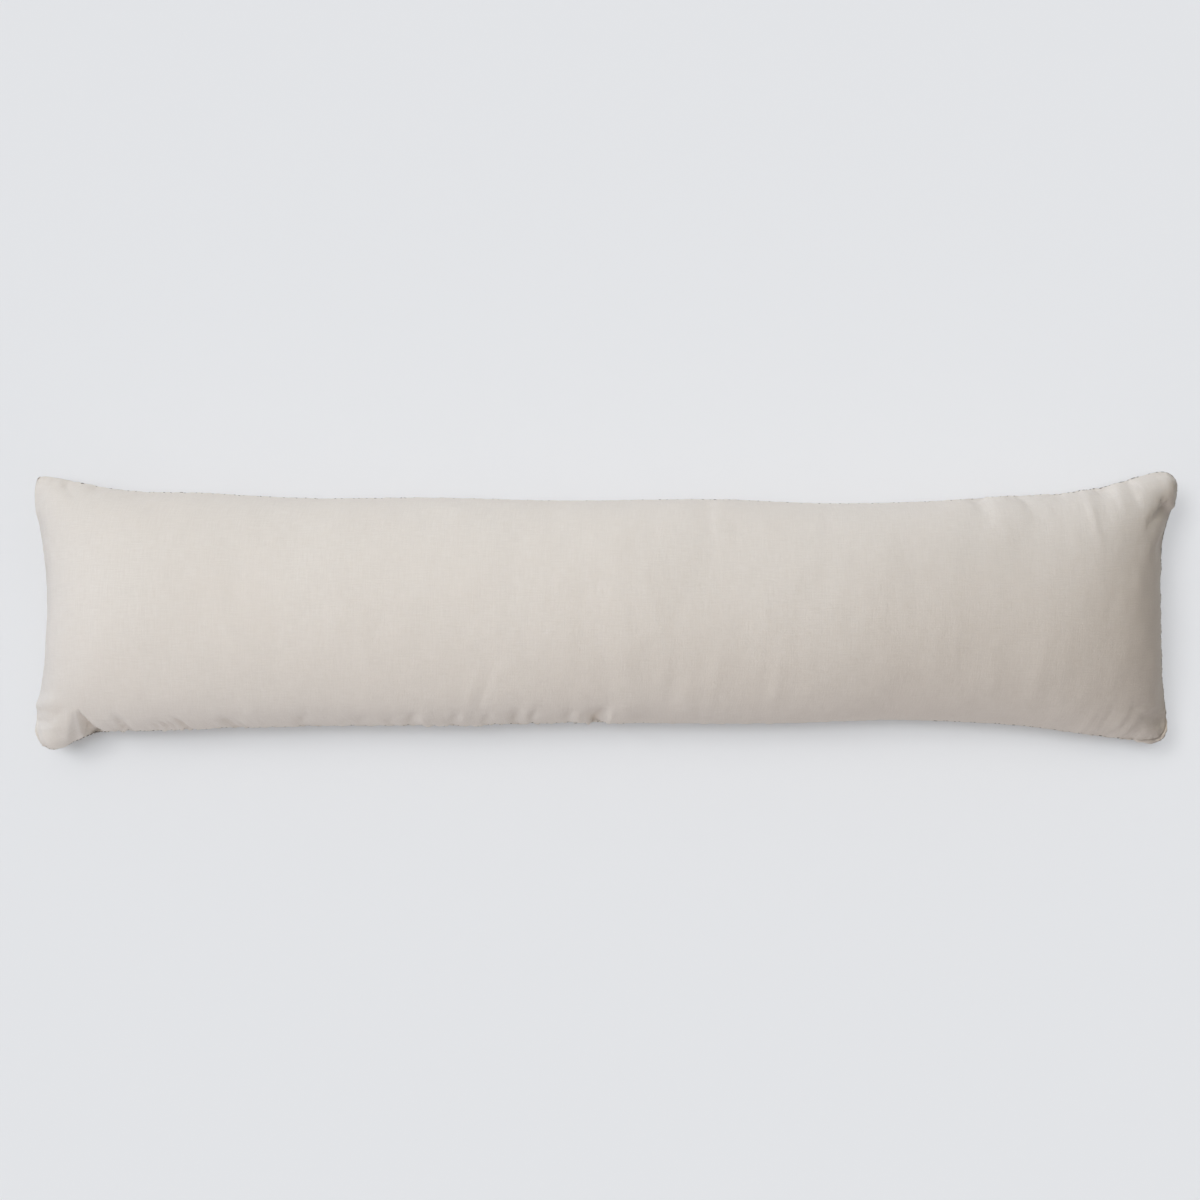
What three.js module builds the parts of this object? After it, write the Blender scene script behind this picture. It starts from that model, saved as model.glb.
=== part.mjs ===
// A long lumbar pillow lying on its back: two plain cloth panels sewn together in a knife edge all
// round and stuffed, so that the crown rises, the sides draw in and the four corners stand out as ears.
// Millimetres. +X runs along the pillow, +Y across it, +Z up from the surface it lies on. The origin is
// on that surface, under the middle of the pillow's box.
import * as THREE from "three";

// The cover as it is cut, seam to seam. The stuffing draws it in, and this cloth width, which has to
// go over the crown at every section, sets how high the crown can be.
const FLAT_WIDTH = 305;
// The stuffed pillow.
const SEAM_HEIGHT = 70; // of the knife edge above the surface, along the sides
const END_ROLL = 128; // how far from an end seam the crown has risen to its full height
const BODY_HALF_WIDTH = 119; // the widest that a section counts as, where the ears flare out past it

// The flat that the stuffing settles into underneath: half its length and half its width, and the
// lines of the grid that run along its edges, counted from each seam.
const FLAT = { halfLength: 512, halfWidth: 54, column: 10, row: 8 };

// How full the cloth is across a section, and along the roll-off at each end:
// height = (1 - t ^ square) ^ blunt, where t is 0 at the crown and 1 at the seam.
const ACROSS = { square: 2.15, blunt: 0.58 };
const ALONG = { square: 2.4, blunt: 0.62 };

// The grid of each panel: cells along and across, and how much closer the lines lie at the seams.
const GRID = { along: 108, across: 26, crowding: 0.45 };

// The corner ears, in order round the pillow. Each is an arc of the knife edge about x, y, from its
// first angle to its last, in degrees. puff is how far the stuffed lobe swells, height is the seam's.
const EARS = {
  farLeft: { x: -587.5, y: 134.5, radius: 6.5, from: 180, to: 90, height: 58, puff: 1 },
  farRight: { x: 581.1, y: 130.5, radius: 15, from: 90, to: 0, height: 64, puff: 4 },
  nearRight: { x: 572.8, y: -124.3, radius: 14.6, from: 0, to: -90, height: 56, puff: 2 },
  nearLeft: { x: -576.9, y: -126.9, radius: 18.7, from: -90, to: -180, height: 52, puff: 8 },
};
const FLAT_SHARE = 0.5; // where the flat cuts the section's curve underneath: 0 its lowest point, 1 the seam

const EAR_REACH = 60; // how far along the seam an ear's own height carries
const PUFF_REACH = 26; // the radius of an ear's lobe

// The knife edge between the ears, in plan. A row for each place where its line bends.
const FAR_SIDE = [
  { x: -546, y: 133.1 },
  { x: -494, y: 124.5 },
  { x: -416, y: 122.4 },
  { x: -312, y: 116.6 },
  { x: -182, y: 117.4 },
  { x: -47, y: 114.4 },
  { x: 124, y: 115.6 },
  { x: 223, y: 111.4 },
  { x: 348, y: 113.9 },
  { x: 416, y: 118.9 },
  { x: 473, y: 121.4 },
  { x: 520, y: 129.3 },
  { x: 551, y: 138.0 },
];
const RIGHT_END = [
  { x: 582.7, y: 86.3 },
  { x: 578.4, y: 60.0 },
  { x: 577.2, y: 5.0 },
  { x: 578.4, y: -44.0 },
  { x: 582.3, y: -84.0 },
];
const NEAR_SIDE = [
  { x: 546, y: -134.0 },
  { x: 488, y: -126.2 },
  { x: 431, y: -118.6 },
  { x: 369, y: -114.6 },
  { x: 296, y: -112.3 },
  { x: 171, y: -116.0 },
  { x: -26, y: -115.4 },
  { x: -161, y: -118.0 },
  { x: -307, y: -119.0 },
  { x: -401, y: -121.0 },
  { x: -474, y: -124.2 },
  { x: -529, y: -125.6 },
  { x: -548, y: -133.6 },
  { x: -561, y: -138.6 },
];
const LEFT_END = [
  { x: -590, y: -92.6 },
  { x: -584.2, y: -61.4 },
  { x: -579.4, y: -4.2 },
  { x: -581.4, y: 44.7 },
  { x: -588.4, y: 86.3 },
  { x: -594.8, y: 113.0 },
];

// Creases in the upper panel where an ear is pinched off from the body: a soft trough from one point
// to the other.
const CREASES = [
  { x0: -547, y0: -100, x1: -549, y1: -134, width: 8, depth: 10 },
  { x0: -592, y0: -108, x1: -563, y1: -104, width: 8, depth: 5 },
  { x0: 580, y0: 112, x1: 557, y1: 84, width: 8, depth: 6 },
  { x0: 566, y0: -108, x1: 574, y1: -122, width: 9, depth: 3 },
];

// Gathers: where the longer cloth is eased onto the shorter seam it stands up in a ridge, or sinks in
// a trough where rise is negative, square to the seam and fading inwards.
const GATHERS = [
  { side: "far", x: -530, width: 11, reach: 30, rise: -2.5 },
  { side: "far", x: -448, width: 13, reach: 28, rise: 1.6 },
  { side: "far", x: -300, width: 15, reach: 34, rise: -1.8 },
  { side: "far", x: -120, width: 16, reach: 30, rise: -1.2 },
  { side: "far", x: 108, width: 14, reach: 32, rise: 1.2 },
  { side: "far", x: 232, width: 16, reach: 36, rise: -1.6 },
  { side: "far", x: 388, width: 11, reach: 38, rise: -2.4 },
  { side: "far", x: 412, width: 11, reach: 42, rise: 2.4 },
  { side: "far", x: 462, width: 12, reach: 34, rise: -2.0 },
  { side: "far", x: 503, width: 11, reach: 50, rise: 2.4 },
  { side: "far", x: 533, width: 9, reach: 34, rise: -2.6 },
  { side: "near", x: -500, width: 10, reach: 30, rise: 2.4 },
  { side: "near", x: -455, width: 10, reach: 34, rise: -2.6 },
  { side: "near", x: -425, width: 12, reach: 30, rise: 2.0 },
  { side: "near", x: -285, width: 15, reach: 34, rise: -1.4 },
  { side: "near", x: -130, width: 12, reach: 40, rise: -2.0 },
  { side: "near", x: -14, width: 11, reach: 30, rise: -3.0 },
  { side: "near", x: 12, width: 12, reach: 30, rise: 2.2 },
  { side: "near", x: 100, width: 15, reach: 40, rise: 1.4 },
  { side: "near", x: 300, width: 17, reach: 34, rise: -1.4 },
  { side: "near", x: 470, width: 14, reach: 30, rise: 1.8 },
];

const COLOUR = 0xd4cdc4;
const ROUGHNESS = 0.94;

// A bell of height 1 at 0 that has all but faded at twice its width.
const bell = (distance, width) => Math.exp(-((distance / width) ** 2));

// A quarter of an ellipse's way round, by Ramanujan's formula.
function quarterRound(a, b) {
  return (Math.PI / 4) * (3 * (a + b) - Math.sqrt((3 * a + b) * (a + 3 * b)));
}

// The crown's height at which the cloth just goes over a section of this half width.
function crownOver(halfWidth) {
  let low = 0;
  let high = FLAT_WIDTH / 2;
  while (high - low > 0.01) {
    const middle = (low + high) / 2;
    if (quarterRound(halfWidth, middle) < FLAT_WIDTH / 2) low = middle;
    else high = middle;
  }
  return low;
}

// Fullness of the stuffing, from 1 at the crown, t 0, to 0 at the seam, t 1.
const fullness = (t, { square, blunt }) => (1 - Math.min(1, Math.abs(t)) ** square) ** blunt;

// The point of an ear's arc at a share of its turn.
function earPoint({ x, y, radius, from, to }, share) {
  const angle = THREE.MathUtils.degToRad(THREE.MathUtils.lerp(from, to, share));
  return new THREE.Vector3(x + radius * Math.cos(angle), y + radius * Math.sin(angle), 0);
}

// The seam's height, which eases from each ear's own to that of the sides.
function seamHeight(point) {
  let height = SEAM_HEIGHT;
  for (const ear of Object.values(EARS)) {
    const away = Math.hypot(point.x - ear.x, point.y - ear.y);
    height += (ear.height - SEAM_HEIGHT) * bell(away, EAR_REACH);
  }
  return height;
}

// One side of the knife edge, from the middle of one ear's arc to the middle of the next.
function seamSide(startEar, rows, endEar) {
  const points = [
    earPoint(startEar, 0.5),
    earPoint(startEar, 1),
    ...rows.map(({ x, y }) => new THREE.Vector3(x, y, 0)),
    earPoint(endEar, 0),
    earPoint(endEar, 0.5),
  ];
  const curve = new THREE.CatmullRomCurve3(points, false, "centripetal");
  curve.arcLengthDivisions = 800;
  return curve;
}

// The four sides, all running from left to right or from near to far.
function seamSides() {
  const reversed = (rows) => [...rows].reverse();
  const turned = (ear) => ({ ...ear, from: ear.to, to: ear.from });
  const { farLeft, farRight, nearRight, nearLeft } = EARS;
  return {
    far: seamSide(farLeft, FAR_SIDE, farRight),
    near: seamSide(turned(nearLeft), reversed(NEAR_SIDE), turned(nearRight)),
    left: seamSide(nearLeft, LEFT_END, farLeft),
    right: seamSide(turned(nearRight), reversed(RIGHT_END), turned(farRight)),
  };
}

// A Coons patch: the surface that fills the four sides evenly. It gives each grid point's place in
// plan, at the seam's height.
function patchPoint(sides, u, v) {
  const point = new THREE.Vector3();
  point.addScaledVector(sides.near.getPointAt(u), 1 - v);
  point.addScaledVector(sides.far.getPointAt(u), v);
  point.addScaledVector(sides.left.getPointAt(v), 1 - u);
  point.addScaledVector(sides.right.getPointAt(v), u);
  point.addScaledVector(sides.near.getPointAt(0), -(1 - u) * (1 - v));
  point.addScaledVector(sides.near.getPointAt(1), -u * (1 - v));
  point.addScaledVector(sides.far.getPointAt(0), -(1 - u) * v);
  point.addScaledVector(sides.far.getPointAt(1), -u * v);
  point.z = seamHeight(point);
  return point;
}

// How far the stuffing stands above the seam's level at a point of the upper grid.
function crownRise(sides, u, v) {
  const near = sides.near.getPointAt(u);
  const far = sides.far.getPointAt(u);
  const length = sides.far.getLength();
  const fromEnd = Math.min(u, 1 - u) * length;
  const rise = fullness(1 - Math.min(1, fromEnd / END_ROLL), ALONG);
  const halfWidth = Math.min((far.y - near.y) / 2, BODY_HALF_WIDTH);
  return crownOver(halfWidth) * rise * fullness(2 * v - 1, ACROSS);
}

// The value after a stretch that carries the four marks in `from` to those in `to`, evenly between.
function carried(value, from, to) {
  let k = 0;
  while (k < 2 && value > from[k + 1]) k++;
  return THREE.MathUtils.mapLinear(value, from[k], from[k + 1], to[k], to[k + 1]);
}

// A point of the lower grid, moved in plan so that the flat's edges are straight lines of the grid.
function underPoint(sides, point, u, v, marks) {
  const near = sides.near.getPointAt(u).y;
  const far = sides.far.getPointAt(u).y;
  const left = sides.left.getPointAt(v).x;
  const right = sides.right.getPointAt(v).x;
  const rows = marks.v.map((mark) => patchPoint(sides, u, mark).y);
  const columns = marks.u.map((mark) => patchPoint(sides, mark, v).x);
  const { halfLength, halfWidth } = FLAT;
  const x = carried(point.x, [left, ...columns, right], [left, -halfLength, halfLength, right]);
  const y = carried(point.y, [near, ...rows, far], [near, -halfWidth, halfWidth, far]);
  return { x, y, toEnd: x < 0 ? left : right, toSide: y < 0 ? near : far };
}

// The share of the seam's height at a place underneath: 0 on the flat, 1 at the seam.
function underRise(place, edge, flatEdge, shape) {
  const away = Math.max(0, (Math.abs(place) - flatEdge) / (Math.abs(edge) - flatEdge));
  const t = THREE.MathUtils.lerp(FLAT_SHARE, 1, Math.min(1, away));
  return 1 - fullness(t, shape) / fullness(FLAT_SHARE, shape);
}

function underHeight({ x, y, toEnd, toSide }, seam) {
  const fromEnd = 1 - underRise(x, toEnd, FLAT.halfLength, ALONG);
  const fromSide = 1 - underRise(y, toSide, FLAT.halfWidth, ACROSS);
  return seam * (1 - fromEnd * fromSide);
}

function earPuff(point) {
  let puff = 0;
  for (const ear of Object.values(EARS)) {
    puff += ear.puff * bell(Math.hypot(point.x - ear.x, point.y - ear.y), PUFF_REACH);
  }
  return puff;
}

function creaseDepth(point) {
  let depth = 0;
  for (const { x0, y0, x1, y1, width, depth: deepest } of CREASES) {
    const line = new THREE.Line3(new THREE.Vector3(x0, y0, 0), new THREE.Vector3(x1, y1, 0));
    const flat = new THREE.Vector3(point.x, point.y, 0);
    const nearest = line.closestPointToPoint(flat, true, new THREE.Vector3());
    depth += deepest * bell(flat.distanceTo(nearest), width);
  }
  return depth;
}

function gatherRise(point, edges) {
  let total = 0;
  for (const { side, x, width, reach, rise } of GATHERS) {
    const inwards = Math.abs(edges[side].y - point.y);
    total += rise * bell(point.x - x, width) * Math.exp(-inwards / reach);
  }
  return total;
}

// Cloth is held down at the seam itself, so what stands up or sinks there eases in over this far.
const HELD = 9;
const freeOfSeam = (u, v, length) => {
  const away = Math.min(Math.min(u, 1 - u) * length, Math.min(v, 1 - v) * FLAT_WIDTH);
  return 1 - bell(away, HELD);
};

// Places 0 to 1 along a side, closer together at both ends.
function crowded(count) {
  const places = [];
  for (let i = 0; i <= count; i++) {
    const even = i / count;
    const eased = (1 - Math.cos(Math.PI * even)) / 2;
    places.push(THREE.MathUtils.lerp(even, eased, GRID.crowding));
  }
  return places;
}

// The whole cushion: an upper and a lower grid that share the knife edge.
function pillowGeometry() {
  const sides = seamSides();
  const length = sides.far.getLength();
  const along = crowded(GRID.along);
  const across = crowded(GRID.across);
  const marks = {
    u: [along[FLAT.column], along[GRID.along - FLAT.column]],
    v: [across[FLAT.row], across[GRID.across - FLAT.row]],
  };
  const positions = [];
  const upper = [];
  const lower = [];
  along.forEach((u, i) => {
    const edges = { near: sides.near.getPointAt(u), far: sides.far.getPointAt(u) };
    upper.push([]);
    lower.push([]);
    across.forEach((v, j) => {
      const point = patchPoint(sides, u, v);
      const onSeam = i === 0 || i === GRID.along || j === 0 || j === GRID.across;
      if (onSeam) {
        lower[i].push(positions.length / 3);
        upper[i].push(positions.length / 3);
        positions.push(point.x, point.y, point.z);
        return;
      }
      const free = freeOfSeam(u, v, length);
      const puff = earPuff(point) * free;
      const folds = (gatherRise(point, edges) - creaseDepth(point)) * free;
      upper[i].push(positions.length / 3);
      positions.push(point.x, point.y, point.z + crownRise(sides, u, v) + puff + folds);
      const under = underPoint(sides, point, u, v, marks);
      lower[i].push(positions.length / 3);
      positions.push(under.x, under.y, Math.max(0, underHeight(under, point.z) - puff));
    });
  });
  const faces = [];
  for (let i = 0; i < GRID.along; i++) {
    for (let j = 0; j < GRID.across; j++) {
      for (const [grid, facesUp] of [[upper, true], [lower, false]]) {
        const corners = [grid[i][j], grid[i + 1][j], grid[i + 1][j + 1], grid[i][j + 1]];
        const [a, b, c, d] = facesUp ? corners : corners.reverse();
        faces.push(a, b, c, a, c, d);
      }
    }
  }
  const geometry = new THREE.BufferGeometry();
  geometry.setAttribute("position", new THREE.Float32BufferAttribute(positions, 3));
  geometry.setIndex(faces);
  return geometry;
}

// Puts the middle of the pillow's box over the origin.
function centred(geometry) {
  geometry.computeBoundingBox();
  const middle = geometry.boundingBox.getCenter(new THREE.Vector3());
  return geometry.translate(-middle.x, -middle.y, 0);
}

const cloth = new THREE.MeshStandardMaterial({ color: COLOUR, roughness: ROUGHNESS, metalness: 0 });
const pillow = new THREE.Mesh(centred(pillowGeometry()), cloth);
pillow.name = "pillow";

const part = new THREE.Group();
part.add(pillow);

export default part;
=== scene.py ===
"""A long lumbar pillow in plain cream cloth, lying on its back and seen from straight above.

The cover is two panels, sewn together all round. They are laid over the solid, settled as cloth with
lengths between those of the flat cut and those that it is laid with, and then given the seam, the ear
folds and the fine unevenness."""
import math

import bmesh
import bpy
import numpy as np
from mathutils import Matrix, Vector, noise
from mathutils.bvhtree import BVHTree


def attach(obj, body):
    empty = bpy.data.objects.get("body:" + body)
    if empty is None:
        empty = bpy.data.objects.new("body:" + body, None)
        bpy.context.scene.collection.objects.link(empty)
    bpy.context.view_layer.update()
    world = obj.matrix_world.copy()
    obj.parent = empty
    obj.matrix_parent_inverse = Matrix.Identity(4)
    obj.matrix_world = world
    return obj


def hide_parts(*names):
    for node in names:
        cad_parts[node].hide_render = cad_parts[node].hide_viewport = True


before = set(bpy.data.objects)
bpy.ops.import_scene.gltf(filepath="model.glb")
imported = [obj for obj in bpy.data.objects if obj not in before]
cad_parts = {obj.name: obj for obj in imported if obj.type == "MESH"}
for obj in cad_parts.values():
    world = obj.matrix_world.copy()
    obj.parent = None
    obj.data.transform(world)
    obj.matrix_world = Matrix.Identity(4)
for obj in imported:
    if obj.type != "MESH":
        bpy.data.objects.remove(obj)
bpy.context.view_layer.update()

MM = 0.001
UP = Vector((0, 0, 1))
DOWN = Vector((0, 0, -1))
# A height well clear of the pillow on both sides, in metres, from which a ray is sent to it.
CLEAR = 0.5
# The least that a length, or a cell's area, counts as where something is divided by it.
TINY = 1e-9
TINY_AREA = 1e-12

# The photo: metres to a pixel, its size in pixels, and the pixel that the origin falls on.
METRES_PER_PIXEL = 0.00104
PHOTO_PIXELS = 1200
ORIGIN_PIXEL = (605.25, 611.0)
# The height at which that scale holds: the seam's, because it makes the outline.
SCALE_HEIGHT = 0.07
# The camera's lens and the width that it is made for, in millimetres.
LENS = {"lens": 85.0, "sensor_width": 36.0}

# The cover as it is cut, in metres, and the radius that its corners are sewn at.
CUT_LENGTH = 1.219
CUT_WIDTH = 0.305
CUT_CORNER = 0.016

# Laying: the lines of the even patch over the solid, and how often its two spacings are brought together.
PATCH_LINES = {"lengthwise": 401, "crosswise": 121}
LAYING_ROUNDS = 8

# Settling: cells of each panel's grid, how much closer they lie at the seams, and the steps taken. In a
# step the stuffing adds its push in metres, and a share of the speed is kept. A share of each bend is
# straightened, and of each thread's stretch or squeeze, with less for the threads that lie slanting.
# No point ends further than a set way, in metres, from where it was laid.
CELLS = {"lengthwise": 340, "crosswise": 84}
CROWDING = {"lengthwise": 0.25, "crosswise": 0.35}
STEPS = 260
PRESSURE = 2.2e-6
DRAG = 0.9
BENDING = 0.1
THREAD_STIFFNESS = {"stretch": 1.0, "squeeze": 1.0}
SKEW_STIFFNESS = {"stretch": 0.35, "squeeze": 0.2}
FURTHEST_MOVE = 0.014

# How far the rest length of every thread lies from the flat cut's, at 0, towards the laid one, at 1. It
# leaves less spare cloth all over than the cut has, and the gathers below add some back in places.
EASED = 0.62

# Gathers: where more cloth is eased onto the seam. The side and the place along it in millimetres,
# the width and reach inwards of the gather, the extra share of cloth, and which way it starts to lift.
# That first lift is given in metres.
GATHERS = (
    ("far", -532, 12, 34, 0.09, -1),
    ("far", -505, 12, 30, 0.05, 1),
    ("far", -435, 14, 30, 0.05, 1),
    ("far", -366, 14, 26, 0.04, 1),
    ("far", 88, 9, 34, 0.02, 1),
    ("far", 106, 9, 34, 0.05, -1),
    ("far", 124, 10, 30, 0.02, 1),
    ("far", 387, 9, 28, 0.12, -1),
    ("far", 402, 9, 30, 0.10, 1),
    ("far", 436, 9, 24, 0.08, -1),
    ("far", 500, 8, 44, 0.14, 1),
    ("far", 516, 8, 34, 0.07, -1),
    ("far", 532, 7, 28, 0.10, 1),
    ("far", 546, 7, 28, 0.12, -1),
    ("near", -500, 8, 26, 0.14, -1),
    ("near", -480, 8, 26, 0.10, 1),
    ("near", -382, 10, 24, 0.12, -1),
    ("near", -314, 9, 20, 0.06, -1),
    ("near", -150, 10, 30, 0.04, 1),
    ("near", -132, 9, 30, 0.04, -1),
    ("near", -93, 9, 28, 0.07, -1),
    ("near", -44, 9, 24, 0.07, -1),
    ("near", -9, 7, 26, 0.20, -1),
    ("near", 5, 8, 24, 0.14, 1),
    ("near", 60, 10, 34, 0.05, 1),
    ("near", 112, 10, 34, 0.05, 1),
    ("near", 436, 10, 34, 0.06, 1),
    ("near", 500, 9, 24, 0.06, 1),
    ("near", 534, 8, 22, 0.07, 1),
)
GATHER_START = 0.0016

# The finer grid of each finished panel, in metres: places from the seam, then the steps in the outer
# zone and in the middle, and how wide the outer zone is at the ends and along the sides.
SEAM_PLACES = (0.0, 0.0006, 0.0012, 0.0019, 0.0028, 0.0039, 0.0052, 0.0068, 0.0088)
CLOSE_STEP = 0.0019
WIDE_STEP = {"lengthwise": 0.0028, "crosswise": 0.0054}
END_ZONE = 0.18
SIDE_ZONE = 0.05

# Where the seam rolls onto the upper face, so that the under cloth shows outside it: the middle of the
# stretch in millimetres, its half length, and how far the seam rolls over. A minus rolls it under.
# It also wanders a little everywhere, by millimetres, with a pitch in metres. The cloth follows the roll
# for a reach inwards in metres.
SEAM_ROLLS = (
    (-400, 118, 85, 2.4),
    (-582, -140, 18, 4.5),
    (566, -131, 26, 6.2),
    (480, -124, 50, 1.2),
    (200, 112, 120, 0.6),
    (588, -76, 12, 1.5),
)
SEAM_WANDER = {"height": 0.5, "pitch": 0.06}
ROLL_REACH = 0.008

# Where the seam is rolled over, its groove is deeper by a share of the roll and has a half width.
ROLLED_GROOVE = {"share": 0.35, "width": 0.0013}

# Folds pressed into the upper face at the ears. Each line runs through points in millimetres, and has
# the half width and the height in millimetres at its first and last point. A minus height is a trough.
# The last two numbers narrow the side on the line's left and tell if the other side ends in a crease.
EAR_FOLDS = (
    (
        ((-544, -101), (-540, -108), (-533, -118), (-527, -124), (-521, -129)),
        (0.6, 27.0),
        (-0.5, -27.0),
        0.05,
        1,
    ),
    (((-552, -105), (-556, -120), (-560, -131)), (4.0, 6.0), (1.2, 3.0), 1.0, 0),
    (((-593, -116), (-577, -116), (-565, -105)), (7.0, 7.0), (-3.0, -1.6), 0.8, 0),
    (((-588, -98), (-572, -94)), (6.0, 7.0), (4.0, 2.6), 1.0, 0),
    (((-580, -126), (-566, -129)), (5.0, 5.0), (-0.8, -0.8), 0.7, 0),
    (((-586, -137), (-567, -140)), (7.0, 7.0), (3.0, 3.0), 1.0, 0),
    (((561, 93), (571, 101), (577, 109)), (6.5, 6.0), (-2.2, -3.8), 0.45, 0),
    (((575, 114), (578, 117)), (2.0, 2.0), (-1.4, -1.0), 0.6, 0),
    (((564, 62), (576, 72), (587, 85)), (5.5, 4.5), (-1.8, -3.0), 0.6, 0),
    (((568, 42), (574, 66)), (6.0, 5.0), (-1.0, -1.6), 0.6, 0),
    (((573, 93), (584, 97)), (3.0, 3.0), (1.2, 1.6), 1.0, 0),
    (((587, 112), (586, 134)), (6.5, 7.5), (3.4, 4.0), 1.0, 0),
    (((560, -109), (582, -116)), (8.0, 8.0), (-2.0, -4.0), 1.0, 0),
    (((556, -104), (540, -124)), (5.0, 5.0), (1.2, 1.2), 1.0, 0),
    (((563, -86), (548, -93)), (3.0, 3.0), (0.7, 0.7), 1.0, 0),
    (((559, -93), (544, -100)), (3.0, 3.0), (-0.7, -0.7), 1.0, 0),
    (((574, -96), (560, -103)), (3.5, 3.5), (0.8, 0.8), 1.0, 0),
    (((-560, 130), (-550, 119)), (4.0, 6.0), (-2.2, -1.0), 1.0, 0),
)

# How a creased side falls from its line: 1 is straight, and more is rounder.
CREASE_CURVE = 1.5

# A fold sinks by at most the first share, of the pillow's thickness. A deeper one takes both faces down
# with it, by at most the second share, of the lower face's height above the floor.
DEEPEST_FOLD = 0.72
DEEPEST_PRESS = 0.75

# The least stuffing between the two panels, in metres.
THINNEST = 0.0004

# The seam itself, in millimetres: the depth of its groove, the roll of cloth on both sides of it with
# the distance to that roll's top, and the puckers with their reach and pitch.
SEAM = {
    "groove": 1.1,
    "roll": 0.65,
    "roll_place": 1.4,
    "pucker": 0.5,
    "pucker_reach": 12.0,
    "pucker_pitch": 6.0,
}

# Where the puckers are stronger: the middle in millimetres, the half length, and the added height.
PUCKER_SPOTS = (
    (-452, -117, 30, 2.2),
    (-500, -122, 22, 1.6),
    (-382, -114, 24, 1.6),
    (-310, -112, 40, 1.1),
    (-180, -112, 80, 1.0),
    (-20, -112, 24, 1.8),
    (-90, -112, 60, 1.0),
    (150, -112, 120, 0.3),
    (510, 122, 60, 0.7),
    (400, 113, 60, 0.5),
    (575, 130, 30, 0.5),
    (-480, 120, 80, 0.5),
    (560, -130, 60, 0.6),
    (590, 0, 80, 0.5),
)

# The sewing thread: bars that cross the groove, in metres, and how far they lie out of it.
STITCH = {"pitch": 0.0031, "length": 0.0015, "thickness": 0.00032}
STITCH_LIFT = 0.0002

# Dark dashes at the seam, partly the under cloth's dark yarn and partly painted shade in the seam's groove:
# their places in millimetres and their sizes. A place beyond the outline is brought in to it.
DASHES = (
    (-556, 155, 1.5), (-458, 150, 1.0), (-436, 150, 0.8), (-380, 150, 0.9), (-239, 150, 1.0),
    (57, 150, 0.9), (114, 150, 1.2), (332, 150, 0.8), (473, 150, 0.9), (487, 150, 1.3), (560, 155, 1.2),
    (575, 155, 0.8), (574.5, 115, 0.7), (342, -150, 0.9), (355, -150, 0.8), (368, -150, 0.7),
    (384, -150, 0.9), (405, -150, 0.8), (424, -150, 1.0), (444, -150, 0.8), (468, -150, 0.8),
    (492, -155, 0.9), (520.5, -155, 1.4), (546, -160, 1.1), (610, -78, 1.3), (610, -64, 0.8),
    (-8, -150, 1.0), (-31, -150, 0.8), (-559, -140, 0.8), (-555, -140, 1.0), (-552, -140, 1.3),
    (-549, -140, 1.2), (-546, -140, 1.5), (-543.5, -140, 1.6), (-541, -140, 1.5), (-538.5, -140, 1.7),
    (-536, -140, 1.5), (-533.5, -140, 1.2), (-530, -140, 1.4), (-527, -140, 1.5), (-524.5, -140, 1.2),
    (-521, -140, 0.9), (-593, -151, 0.6), (-590, -154, 0.7), (-586, -156, 0.7), (-582, -156, 0.6),
    (-571, -156, 0.6), (-566.5, -154, 0.7), (-562, -152, 0.6),
)

# Fainter ticks along stretches of the outline, partly dark yarn and partly painted shade at the cover's
# edge:
# both ends of a line just outside it in millimetres, the pitch, and the largest size. The smallest is a
# share of it.
TICKS = (
    ((-540, 150), (-190, 150), 10.0, 0.9),
    ((-190, 150), (70, 150), 18.0, 0.7),
    ((70, 150), (480, 150), 11.0, 0.9),
    ((480, 150), (570, 160), 5.0, 1.2),
    ((590, 168), (616, 142), 2.4, 0.9),
    ((616, 142), (604, 0), 2.3, 1.1),
    ((604, 0), (600, -70), 2.4, 0.95),
    ((600, -70), (600, -120), 4.0, 0.8),
    ((340, -150), (570, -160), 10.0, 0.9),
    ((-510, -150), (-434, -150), 4.0, 0.9),
    ((-434, -150), (60, -150), 9.0, 0.8),
)
SMALLEST_TICK = 0.5

# A dash of size 1, in metres. Its place moves inwards by short steps until it is over the cover, towards
# a middle zone of this half length and half width, and then once more by the inset.
DASH = {"length": 0.0028, "thickness": 0.0009}
DASH_STEP = 0.0002
DASH_INSET = 0.0004
MIDDLE_ZONE = (0.5, 0.05)

# The bar that stitches and dashes are made from, before it is stretched, and the most that it slants
# either way for each 1 along it.
BAR = {"Segments": 6, "Rings": 4, "Radius": 0.5}
SLANT = 0.35

# Uneven stuffing under the cloth, in millimetres: the pitch of each size of lump along and across, and
# its height. In metres: how far above the floor and in from the seam the lumps are whole, and how far in
# the folds are.
LUMPS = ((95, 95, 1.0), (36, 50, 0.35), (15, 60, 0.16), (13, 13, 0.05))
WHOLE_LUMPS = 0.02
WHOLE_FOLDS = 0.002

# Broad swells where the stuffing fills the shoulders out, in millimetres: the middle, the half length
# along, the half width across, and the height.
SWELLS = (
    (-140, -94, 390, 20, 1.9),
    (-400, 104, 150, 14, 1.3),
    (535, -10, 20, 75, 1.0),
    (556, 60, 7, 9, 1.3),
    (545, 28, 8, 12, 1.2),
    (560, 5, 6, 9, 0.9),
    (552, -28, 7, 10, 0.8),
    (564, -52, 6, 8, 1.0),
    (572, 32, 5, 8, -0.9),
)

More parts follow.
